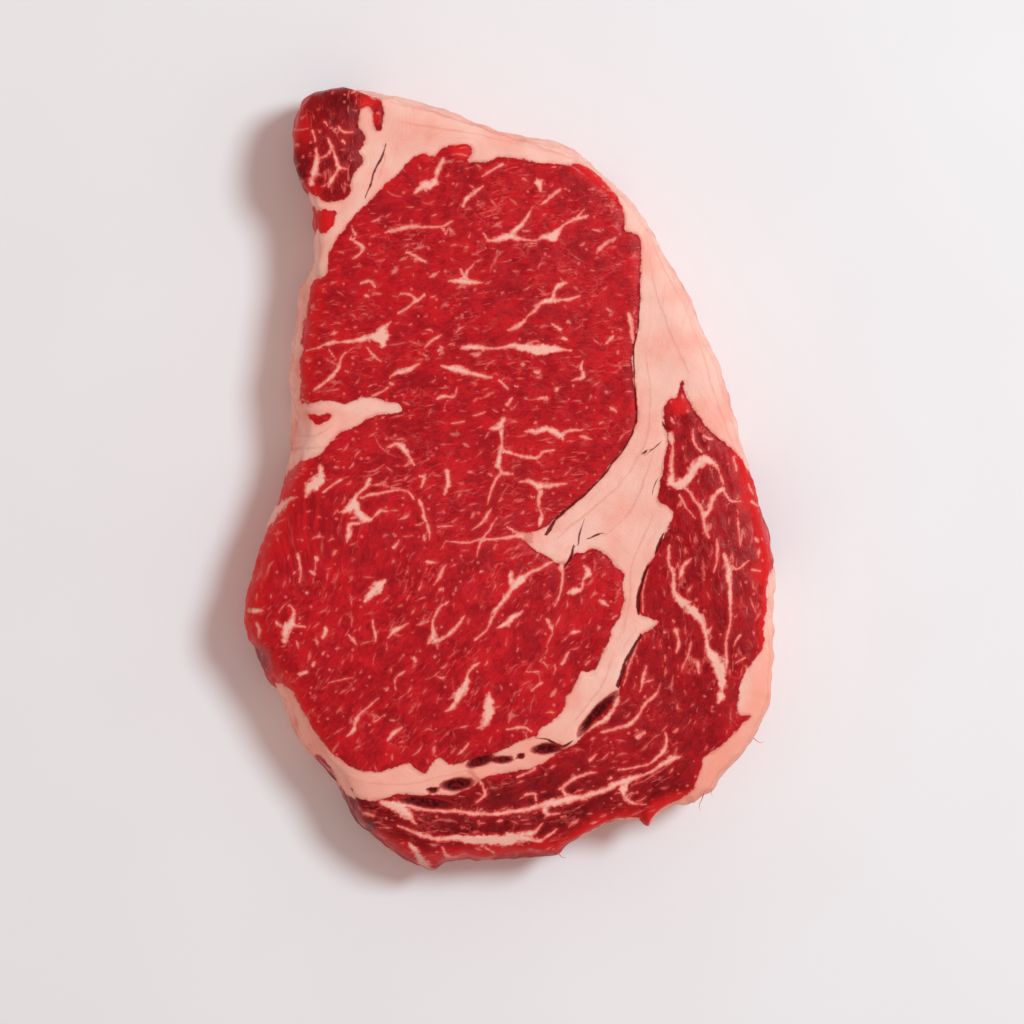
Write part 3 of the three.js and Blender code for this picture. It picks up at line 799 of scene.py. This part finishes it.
class Finish:
    """A material being mixed from its nodes."""

    def __init__(self, name):
        self.material = bpy.data.materials.new(name)
        self.material.use_nodes = True
        self.tree = self.material.node_tree
        self.surface = self.tree.nodes["Principled BSDF"]

    def node(self, kind, inputs, **settings):
        node = self.tree.nodes.new(kind)
        for name, value in settings.items():
            setattr(node, name, value)
        for socket, value in inputs.items():
            self.feed(node.inputs[socket], value)
        return node

    def feed(self, socket, value):
        if isinstance(value, bpy.types.NodeSocket):
            self.tree.links.new(value, socket)
        else:
            socket.default_value = value

    def work_out(self, operation, *values):
        return self.node("ShaderNodeMath", dict(enumerate(values)), operation=operation).outputs[0]

    def plus(self, first, second):
        return self.work_out("ADD", first, second)

    def minus(self, first, second):
        return self.work_out("SUBTRACT", first, second)

    def times(self, first, second, extra=0.0):
        return self.work_out("MULTIPLY_ADD", first, second, extra)

    def larger(self, first, second):
        return self.work_out("MAXIMUM", first, second)

    def size_of(self, value):
        return self.work_out("ABSOLUTE", value)

    def step(self, value, low, high, top=1.0):
        inputs = {"Value": value, "From Min": low, "From Max": high, "To Min": 0.0, "To Max": top}
        return self.node("ShaderNodeMapRange", inputs, interpolation_type="SMOOTHSTEP").outputs[0]

    def mix(self, share, first, second):
        inputs = {0: share, 6: first, 7: second}
        return self.node("ShaderNodeMix", inputs, data_type="RGBA").outputs[2]

    def parts(self, vector):
        return self.node("ShaderNodeSeparateXYZ", {0: vector}).outputs

    def kept(self, name):
        return self.node("ShaderNodeAttribute", {}, attribute_name=name).outputs

    def place_in_mm(self):
        place = self.node("ShaderNodeTexCoord", {}).outputs["Object"]
        return self.node("ShaderNodeVectorMath", {0: place, 3: 1000.0}, operation="SCALE").outputs[0]

    def stretched(self, vector, scale, shift=(0, 0, 0)):
        return self.node("ShaderNodeMapping", {0: vector, 1: shift, 3: scale}).outputs[0]

    def clouds(self, vector, size, detail=2.0, rough=0.55, shift=(0, 0, 0)):
        """Noise from 0 to 1 with lumps about size mm across."""
        place = self.stretched(vector, (1 / size,) * 3, shift)
        inputs = {"Vector": place, "Scale": 1.0, "Detail": detail, "Roughness": rough}
        return self.node("ShaderNodeTexNoise", inputs).outputs[0]

    def line_depth(self, line, half):
        """How far inside a line; near its middle the signed side keeps thin lines whole."""
        side, far, _ = self.parts(line)
        across = self.minus(half, self.size_of(side))
        across = self.minus(across, self.step(far, 0.42, 0.54, 5.0))
        return self.larger(across, self.minus(half, far))


def meat_patterns():
    """The meat's finish, begun with the patterns that several of its colours share."""
    f = Finish("raw_meat")
    f.mm = f.place_in_mm()
    f.grain = f.kept("grain")["Vector"]
    # the third number is how far from the rim and from the highlight places, for the painted
    # highlight
    f.depth, f.dark_lean_and_shade, f.rim = f.parts(f.kept("meat")["Vector"])
    f.hollow, f.wall, f.peach = f.parts(f.kept("place")["Vector"])
    f.strength = f.kept("strength")["Fac"]
    f.patches = f.clouds(f.mm, 7, 2, 0.5, (3, 1, 4))
    f.blotches = f.clouds(f.mm, 4.5, 3, 0.6, (2, 6, 3))
    f.areas = f.clouds(f.mm, 5.5, 1, 0.5, (9, 4, 1))
    f.bundles = f.clouds(f.stretched(f.grain, (0.55, 1.0, 0.5)), 0.6, 3, 0.6)
    f.septa = f.clouds(f.stretched(f.grain, (0.08, 0.75, 0.3)), 1.0, 3, 0.6)
    f.fray = f.times(f.clouds(f.mm, 0.9, 3, 0.65, (1, 8, 2)), 1.3, -0.65)
    f.uneven = f.times(f.clouds(f.mm, 1.9, 1, 0.5, (4, 2, 7)), 1.5, 0.3)
    f.ragged = f.plus(f.depth, f.times(f.clouds(f.mm, 1.5, 3), 1.5, -0.75))
    f.lean = f.step(f.ragged, -0.18, 0.18)  # 1 in lean, 0 in fat
    return f


def lean_colour(f):
    """Bundles seen end on, darker and brighter patches, and a painted highlight: brighter red near
    the rim and at the highlight places.
    """
    wander = f.node("ShaderNodeTexNoise", {"Vector": f.mm, "Scale": 0.7, "Detail": 3.0}).outputs[1]
    loose = f.node("ShaderNodeVectorMath", {0: f.stretched(f.grain, (0.6, 1.0, 0.6)), 1: wander})
    cells = f.node("ShaderNodeTexVoronoi", {"Vector": loose.outputs[0], "Scale": 0.85})
    tone = f.times(f.bundles, 0.5, f.times(f.patches, 0.5))
    tone = f.times(f.parts(cells.outputs["Color"])[1], 0.16, tone)
    light = f.step(tone, 0.36, 0.8)
    # deep lean: the darker muscles' own colour, and painted shade at the dark places
    red = f.mix(f.dark_lean_and_shade, f.mix(light, *LEAN), f.mix(light, *DEEP_LEAN_AND_SHADE))
    # painted highlight near the rim and at the highlight places
    return f.mix(f.step(f.times(f.patches, 5.0, f.rim), 7.0, 3.0, 0.8), red, RIM_HIGHLIGHT_RED)


def fat_colour(f):
    """Creamy pink, peachier outside, blood-stained beside lean, with fine septa."""
    slow = f.clouds(f.mm, 11, 2, 0.5, (7, 2, 5))
    fat = f.mix(f.step(slow, 0.35, 0.68), *FAT)
    fat = f.mix(f.step(f.septa, 0.5, 0.75, 0.3), fat, SEPTUM)
    fat = f.mix(f.peach, fat, PEACHY_FAT)
    fat = f.mix(f.step(f.times(f.blotches, 2.2, f.ragged), 0.1, 1.6, 0.55), fat, STAINED_FAT)
    folds = f.size_of(f.minus(f.clouds(f.mm, 6, 2, 0.5, (1, 2, 3)), 0.5))
    fat = f.mix(f.times(f.step(folds, 0.03, 0.0, 0.4), f.wall), fat, CREASE)
    return f.mix(f.times(f.step(f.blotches, 0.5, 0.72, 0.5), f.wall), fat, SMEAR)


def fine_marbling(f):
    """Wisps and threads along the grain, and dots."""
    wisps = f.clouds(f.stretched(f.grain, (0.28, 1.0, 0.3), (5, 3, 1)), 0.9, 2, 0.5)
    wisps = f.step(f.times(f.areas, 0.35, wisps), 0.8, 0.95, 0.7)
    threads = f.clouds(f.stretched(f.grain, (0.6, 1.0, 0.5), (1, 9, 4)), 3.2, 3, 0.55)
    threads = f.step(f.size_of(f.minus(threads, 0.5)), 0.034, 0.004)
    threads = f.times(threads, f.step(f.areas, 0.46, 0.7, 0.3))
    cells = f.node("ShaderNodeTexVoronoi", {"Vector": f.mm, "Scale": 0.5, "Randomness": 1.0})
    dot_size = f.step(f.parts(cells.outputs["Color"])[0], 0.35, 1.0, 0.24)
    dots = f.times(f.fray, 0.14, f.minus(dot_size, cells.outputs["Distance"]))
    return f.larger(f.larger(wisps, f.step(dots, -0.04, 0.1, 0.75)), threads)


def marbled(f, red, fat):
    """Lean and fat side by side, with the drawn strokes of fat in the lean, seams in the fat."""
    streak = f.kept("streak")["Vector"]
    half = f.times(f.parts(streak)[2], f.uneven)
    inside = f.times(f.fray, f.times(half, 0.7, 0.34), f.line_depth(streak, half))
    stroke = f.times(f.step(inside, -0.24, 0.2), f.strength)
    red = f.mix(fine_marbling(f), red, WISP)
    red = f.mix(f.times(f.step(inside, -0.8, -0.1, 0.34), f.strength), red, BESIDE_MARBLE)
    edge, thin, full = MARBLE
    streaks = f.mix(f.step(inside, -0.1, 0.34), edge, thin)
    streaks = f.mix(f.step(inside, 0.24, 0.8), streaks, full)
    return f.mix(f.lean, f.mix(f.times(stroke, 0.8), fat, SEAM), f.mix(stroke, red, streaks))


def filmed(f, meat):
    """A thin pale film clings to the side wall; where it is missing, the bare lean is painted darker
    red, painted shade of the side wall.
    """
    film = f.clouds(f.stretched(f.grain, (0.5, 0.16, 0.3), (2, 2, 2)), 1.0, 3, 0.6)
    meat = f.mix(f.times(f.step(film, 0.46, 0.62, 0.45), f.wall), meat, FILM)
    # painted shade on the bare lean of the side wall
    bare = f.times(f.step(film, 0.62, 0.4, 0.7), f.times(f.wall, f.lean))
    return f.mix(bare, meat, BARE_WALL_SHADE)


def torn(f, meat):
    """Gaps and hollows painted dark: painted shade in the gaps and in and around the hollows, and the
    dark film along the eye's border.
    """
    gap = f.kept("gap")["Vector"]
    inside = f.line_depth(gap, f.times(f.parts(gap)[2], f.uneven))
    # painted shade in the gaps, dark film at the eye's border
    meat = f.mix(f.step(f.times(f.fray, 0.25, inside), -0.16, 0.14, 0.96), meat, GAP_SHADE_AND_FILM)
    dents = f.clouds(f.mm, 0.9, 2, 0.6, (3, 3, 9))
    edge = f.times(f.hollow, f.times(dents, 1.4, 0.3))
    # painted shade round the hollows' edges and inside them
    meat = f.mix(f.step(edge, 0.08, 0.4, 0.85), meat, PIT_EDGE_SHADE)
    return f.mix(f.step(edge, 0.34, 0.7, 0.95), meat, f.mix(f.step(dents, 0.4, 0.62), *PIT_SHADE))


def roughness(f):
    """Lean is wetter than fat, some areas are damper, the rim and the hollows are dull."""
    rough = f.times(f.lean, -0.08, 0.46)
    rough = f.plus(rough, f.times(f.blotches, 0.2, -0.1))
    rough = f.minus(rough, f.step(f.areas, 0.52, 0.68, 0.16))
    rough = f.plus(rough, f.step(f.rim, 3.0, 0.0, 0.16))
    return f.larger(rough, f.times(f.hollow, 0.9))


def fine_relief(f):
    height = f.times(f.bundles, 0.12, f.times(f.septa, 0.06))
    height = f.times(f.clouds(f.mm, 0.5, 2, 0.6, (4, 4, 4)), 0.05, height)
    bump = f.node("ShaderNodeBump", {"Height": height, "Distance": 1.0 * MM, "Strength": 0.9})
    return bump.outputs[0]


def raw_meat():
    f = meat_patterns()
    inputs = f.surface.inputs
    f.feed(inputs["Base Color"], torn(f, filmed(f, marbled(f, lean_colour(f), fat_colour(f)))))
    f.feed(inputs["Roughness"], roughness(f))
    f.feed(inputs["Normal"], fine_relief(f))
    inputs["Subsurface Weight"].default_value = 0.3
    inputs["Subsurface Radius"].default_value = (1.0, 0.32, 0.24)
    inputs["Subsurface Scale"].default_value = 1.0 * MM
    inputs["Specular IOR Level"].default_value = 0.14
    inputs["Specular Tint"].default_value = (1.0, 0.8, 0.74, 1)
    return f.material


# ---- pieces ----
def steak_body():
    body = even_body()
    mesh = body.data
    shape_wall(mesh)
    survey = Survey(mesh)
    remember(mesh, "meat", survey.lean, survey.dark_lean_and_shade, survey.bright)
    remember(mesh, "streak", *survey.streak)
    remember(mesh, "gap", *survey.gap)
    remember(mesh, "grain", survey.along, survey.across, survey.z * 0.3)
    remember(mesh, "place", survey.hollow, survey.film, survey.peach)
    remember(mesh, "strength", survey.strength)
    relief(mesh, survey)
    mesh.materials.append(raw_meat())
    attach(body, "root")
    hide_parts("steak")


def stray_fibres():
    finish = Finish("meat_fibre")
    finish.surface.inputs["Base Color"].default_value = FIBRE
    finish.surface.inputs["Roughness"].default_value = 0.45
    for name, (route, half_thickness) in FIBRES.items():
        thread = fibre(name, route, half_thickness)
        thread.data.materials.append(finish.material)
        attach(thread, "root")


# ---- table, light, camera ----
def plain_table():
    bpy.ops.object.select_all(action="DESELECT")
    bpy.ops.mesh.primitive_plane_add(size=TABLE_SIZE, location=(0, 0, 0))
    table = bpy.context.active_object
    table.name = "pale_table"
    f = Finish("pale_paper")
    f.feed(f.surface.inputs["Base Color"], f.mix(f.clouds(f.place_in_mm(), 60, 2), *TABLE))
    f.surface.inputs["Roughness"].default_value = 0.75
    table.data.materials.append(f.material)


def window_light():
    light = bpy.data.lights.new("window", "AREA")
    light.shape = "DISK"
    light.size = WINDOW_SIZE
    light.energy = WINDOW_POWER
    light.color = WINDOW_COLOUR
    lamp = bpy.data.objects.new("window", light)
    lamp.location = WINDOW_PLACE
    lamp.rotation_mode = "QUATERNION"
    lamp.rotation_quaternion = (-Vector(WINDOW_PLACE)).to_track_quat("-Z", "Y")
    bpy.context.scene.collection.objects.link(lamp)


def bright_room():
    world = bpy.data.worlds.new("bright_room")
    world.use_nodes = True
    background = world.node_tree.nodes["Background"].inputs
    background["Color"].default_value = ROOM_COLOUR
    background["Strength"].default_value = ROOM_STRENGTH
    bpy.context.scene.world = world
    bpy.context.scene.view_settings.view_transform = "Standard"


def camera_above():
    lens = bpy.data.cameras.new("above")
    lens.lens = LENS
    lens.clip_end = 10
    camera = bpy.data.objects.new("above", lens)
    middle_x, middle_y = (np.array([0, VIEW_MIDDLE]) - DRAWN_CENTRE) * MM
    camera.location = (middle_x, middle_y, CAMERA_HEIGHT)
    bpy.context.scene.collection.objects.link(camera)
    bpy.context.scene.camera = camera


camera_above()
plain_table()
window_light()
bright_room()
steak_body()
stray_fibres()
